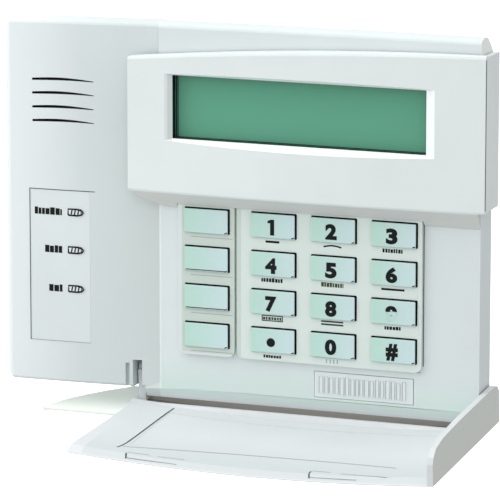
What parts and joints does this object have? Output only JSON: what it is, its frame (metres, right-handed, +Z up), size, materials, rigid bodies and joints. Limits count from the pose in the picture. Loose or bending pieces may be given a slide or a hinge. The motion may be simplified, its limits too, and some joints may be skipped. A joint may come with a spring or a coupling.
{
  "type": "alarm keypad panel",
  "caption": "White wall-mounted alarm keypad with a raised display head, speaker slots, status lights, spring-back keys and a fold-down key door shown open.",
  "frame": {"origin": "the wall_face mount: on the back face of the wall plate, halfway across the case and 100 mm above its lower edge", "axes": "+X to the viewer's right, +Z up, -Y out of the wall toward the viewer"},
  "size_m": [0.186, 0.0782, 0.1515],
  "materials": {
    "shell": "satin",
    "head": "satin",
    "door": "satin",
    "key": "satin",
    "screen": "gloss",
    "glass": "gloss",
    "label": "satin",
    "plate": "matte",
    "silicone": "matte",
    "dark_plastic": "matte",
    "steel": "satin",
    "green_plastic": "satin",
    "lens": "gloss",
    "board": "satin"
  },
  "bodies": {
    "base": {"front_case": "shell", "wall_plate": "plate", "display_head": "head", "display_window": "screen", "lcd_board": "board", "lcd_frame": "steel", "lcd_glass": "glass", "lcd_backlight": "plate", "ribbon_cable": "dark_plastic", "main_board": "board", "keypad_mat": "silicone", "status_light_1": "lens", "light_pipe_1": "label", "status_light_2": "lens", "light_pipe_2": "label", "status_light_3": "lens", "light_pipe_3": "label", "status_label": "label", "sounder": "dark_plastic", "terminal_block": "green_plastic", "terminal_screw_1": "steel", "terminal_screw_2": "steel", "terminal_screw_3": "steel", "terminal_screw_4": "steel", "controller_chip": "dark_plastic", "capacitor": "dark_plastic", "crystal": "steel", "tamper_switch": "dark_plastic", "board_screw_1": "steel", "board_screw_2": "steel", "board_screw_3": "steel", "board_screw_4": "steel", "lcd_screw_1": "steel", "lcd_screw_2": "steel", "ribbed_patch": "label", "hinge_pin_left": "steel", "hinge_pin_right": "steel"},
    "door_leaf": {"door": "door", "door_card": "label"},
    "key_a_button": {"key_a": "key"},
    "key_1_button": {"key_1": "key"},
    "key_2_button": {"key_2": "key"},
    "key_3_button": {"key_3": "key"},
    "key_b_button": {"key_b": "key"},
    "key_4_button": {"key_4": "key"},
    "key_5_button": {"key_5": "key"},
    "key_6_button": {"key_6": "key"},
    "key_c_button": {"key_c": "key"},
    "key_7_button": {"key_7": "key"},
    "key_8_button": {"key_8": "key"},
    "key_9_button": {"key_9": "key"},
    "key_d_button": {"key_d": "key"},
    "key_star_button": {"key_star": "key"},
    "key_0_button": {"key_0": "key"},
    "key_hash_button": {"key_hash": "key"}
  },
  "joints": [
    {"name": "door_hinge", "type": "hinge", "parent": "base", "child": "door_leaf", "pos_m": [0.0262, -0.01005, -0.09335], "axis": [1, 0, 0], "range_deg": [-94.5, 0]},
    {"name": "key_a_press", "type": "slide", "parent": "base", "child": "key_a_button", "axis": [0, 1, 0], "range_m": [0, 0.001], "stiffness_N_per_m": 600},
    {"name": "key_1_press", "type": "slide", "parent": "base", "child": "key_1_button", "axis": [0, 1, 0], "range_m": [0, 0.001], "stiffness_N_per_m": 600},
    {"name": "key_2_press", "type": "slide", "parent": "base", "child": "key_2_button", "axis": [0, 1, 0], "range_m": [0, 0.001], "stiffness_N_per_m": 600},
    {"name": "key_3_press", "type": "slide", "parent": "base", "child": "key_3_button", "axis": [0, 1, 0], "range_m": [0, 0.001], "stiffness_N_per_m": 600},
    {"name": "key_b_press", "type": "slide", "parent": "base", "child": "key_b_button", "axis": [0, 1, 0], "range_m": [0, 0.001], "stiffness_N_per_m": 600},
    {"name": "key_4_press", "type": "slide", "parent": "base", "child": "key_4_button", "axis": [0, 1, 0], "range_m": [0, 0.001], "stiffness_N_per_m": 600},
    {"name": "key_5_press", "type": "slide", "parent": "base", "child": "key_5_button", "axis": [0, 1, 0], "range_m": [0, 0.001], "stiffness_N_per_m": 600},
    {"name": "key_6_press", "type": "slide", "parent": "base", "child": "key_6_button", "axis": [0, 1, 0], "range_m": [0, 0.001], "stiffness_N_per_m": 600},
    {"name": "key_c_press", "type": "slide", "parent": "base", "child": "key_c_button", "axis": [0, 1, 0], "range_m": [0, 0.001], "stiffness_N_per_m": 600},
    {"name": "key_7_press", "type": "slide", "parent": "base", "child": "key_7_button", "axis": [0, 1, 0], "range_m": [0, 0.001], "stiffness_N_per_m": 600},
    {"name": "key_8_press", "type": "slide", "parent": "base", "child": "key_8_button", "axis": [0, 1, 0], "range_m": [0, 0.001], "stiffness_N_per_m": 600},
    {"name": "key_9_press", "type": "slide", "parent": "base", "child": "key_9_button", "axis": [0, 1, 0], "range_m": [0, 0.001], "stiffness_N_per_m": 600},
    {"name": "key_d_press", "type": "slide", "parent": "base", "child": "key_d_button", "axis": [0, 1, 0], "range_m": [0, 0.001], "stiffness_N_per_m": 600},
    {"name": "key_star_press", "type": "slide", "parent": "base", "child": "key_star_button", "axis": [0, 1, 0], "range_m": [0, 0.001], "stiffness_N_per_m": 600},
    {"name": "key_0_press", "type": "slide", "parent": "base", "child": "key_0_button", "axis": [0, 1, 0], "range_m": [0, 0.001], "stiffness_N_per_m": 600},
    {"name": "key_hash_press", "type": "slide", "parent": "base", "child": "key_hash_button", "axis": [0, 1, 0], "range_m": [0, 0.001], "stiffness_N_per_m": 600}
  ]
}
